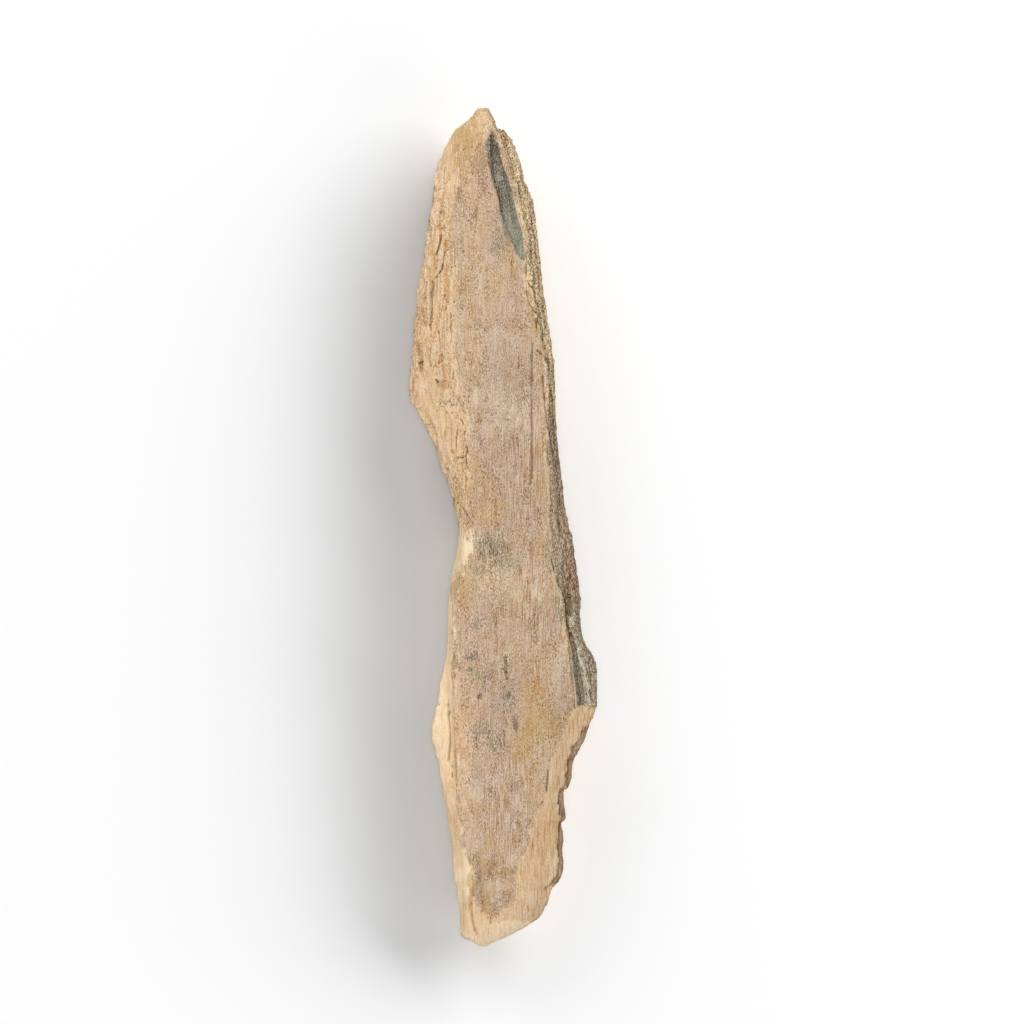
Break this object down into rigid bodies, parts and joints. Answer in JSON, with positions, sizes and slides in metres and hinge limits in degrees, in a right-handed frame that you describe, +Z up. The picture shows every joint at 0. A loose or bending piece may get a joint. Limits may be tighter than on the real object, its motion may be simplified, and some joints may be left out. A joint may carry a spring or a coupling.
{
  "type": "mammoth tusk fragment",
  "caption": "Long splinter of mineralised mammoth tusk ivory with a convex stained face, stepped broken flanks and a pointed tip, lying on its flat split side.",
  "frame": {"origin": "middle of the piece's plan, on the plane it rests on", "axes": "+Y along the tusk's grain to the pointed tip, +X to the right of it seen from above, +Z up out of the stained convex face"},
  "size_m": [0.0896, 0.4, 0.0296],
  "materials": {
    "mineralised_ivory": "dull, dry and fibrous, with tan, ochre and grey-green stains"
  },
  "bodies": {
    "root": {"tusk_fragment": "mineralised_ivory"}
  },
  "joints": []
}
